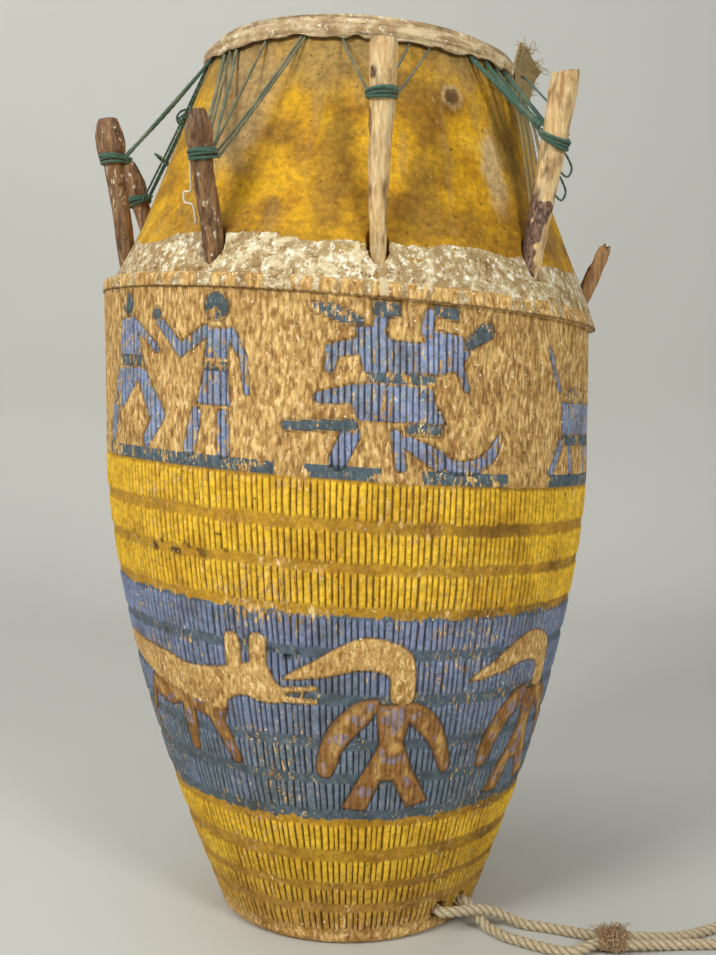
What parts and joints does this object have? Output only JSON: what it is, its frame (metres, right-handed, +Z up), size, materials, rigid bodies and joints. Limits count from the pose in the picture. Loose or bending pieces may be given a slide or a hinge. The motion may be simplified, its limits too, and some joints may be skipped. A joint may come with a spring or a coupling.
{
  "type": "barrel peg drum",
  "caption": "Barrel-shaped carved log drum with a laced skin head tuned by wooden pegs driven into a raised lip, and a carrying rope through the foot.",
  "frame": {"origin": "centre of the flat foot, on the axis of the belly", "axes": "+Z up the belly's axis towards the head, -Y the carved front, +X the side the lip and the neck lean towards"},
  "size_m": [0.5245, 0.3909, 0.6604],
  "materials": {
    "carved_wood": "carved wood with worn yellow, blue and cream paint",
    "skin": "dry untanned hide, matte",
    "cane": "split cane, dull",
    "sacking": "coarse frayed weave",
    "cord": "twisted nylon, faded",
    "rope": "three-strand laid rope, matte",
    "binding": "fuzzy fibre binding",
    "dark_peg": "weathered hardwood, dull",
    "pale_peg": "debarked branch wood, dry",
    "split_peg": "split and broken wood"
  },
  "bodies": {
    "root": {"shell": "carved_wood", "drumhead": "skin", "hoop": "cane", "burlap_shim": "sacking", "rope_anchor": "rope", "cord_strands_1": "cord", "cord_strands_2": "cord", "cord_strands_3": "cord", "cord_strands_4": "cord", "cord_strands_6": "cord", "cord_strands_7": "cord", "cord_strands_8": "cord", "cord_strands_9": "cord"},
    "peg_1": {"peg_1": "dark_peg", "cord_wrap_1": "cord"},
    "peg_2": {"peg_2": "dark_peg", "cord_wrap_2": "cord"},
    "peg_3": {"peg_3": "pale_peg", "cord_wrap_3": "cord"},
    "peg_4": {"peg_4": "pale_peg", "cord_wrap_4": "cord"},
    "peg_5": {"peg_5": "split_peg"},
    "peg_6": {"peg_6": "pale_peg", "cord_wrap_6": "cord"},
    "peg_7": {"peg_7": "dark_peg", "cord_wrap_7": "cord"},
    "peg_8": {"peg_8": "pale_peg", "cord_wrap_8": "cord"},
    "peg_9": {"peg_9": "dark_peg", "cord_wrap_9": "cord"},
    "rope": {"tie_rope": "rope", "whipping": "binding"}
  },
  "joints": [
    {"name": "peg_1_drive", "type": "slide", "parent": "root", "child": "peg_1", "axis": [-0.1171, -0.0566, 0.9915], "range_m": [-0.012, 0.018], "deforming": ["cord_strands_1"]},
    {"name": "peg_2_drive", "type": "slide", "parent": "root", "child": "peg_2", "axis": [-0.083, -0.2282, 0.9701], "range_m": [-0.012, 0.018], "deforming": ["cord_strands_2"]},
    {"name": "peg_3_drive", "type": "slide", "parent": "root", "child": "peg_3", "axis": [0.0204, -0.1375, 0.9903], "range_m": [-0.012, 0.018], "deforming": ["cord_strands_3"]},
    {"name": "peg_4_drive", "type": "slide", "parent": "root", "child": "peg_4", "axis": [0.1615, -0.085, 0.9832], "range_m": [-0.012, 0.018], "deforming": ["cord_strands_4"]},
    {"name": "peg_5_drive", "type": "slide", "parent": "root", "child": "peg_5", "axis": [0.3794, 0.0054, 0.9252], "range_m": [-0.012, 0.018]},
    {"name": "peg_6_drive", "type": "slide", "parent": "root", "child": "peg_6", "axis": [0.16, 0.135, 0.9778], "range_m": [-0.012, 0.018], "deforming": ["cord_strands_6"]},
    {"name": "peg_7_drive", "type": "slide", "parent": "root", "child": "peg_7", "axis": [0.1457, 0.2014, 0.9686], "range_m": [-0.012, 0.018], "deforming": ["cord_strands_7"]},
    {"name": "peg_8_drive", "type": "slide", "parent": "root", "child": "peg_8", "axis": [-0.0205, 0.1456, 0.9891], "range_m": [-0.012, 0.018], "deforming": ["cord_strands_8"]},
    {"name": "peg_9_drive", "type": "slide", "parent": "root", "child": "peg_9", "axis": [-0.295, 0.0164, 0.9554], "range_m": [-0.012, 0.018], "deforming": ["cord_strands_9"]},
    {"name": "rope_lift", "type": "hinge", "parent": "root", "child": "rope", "pos_m": [0.07953, -0.07815, 0.019], "axis": [-0.7009, -0.7133, 0], "range_deg": [0, 50]}
  ]
}
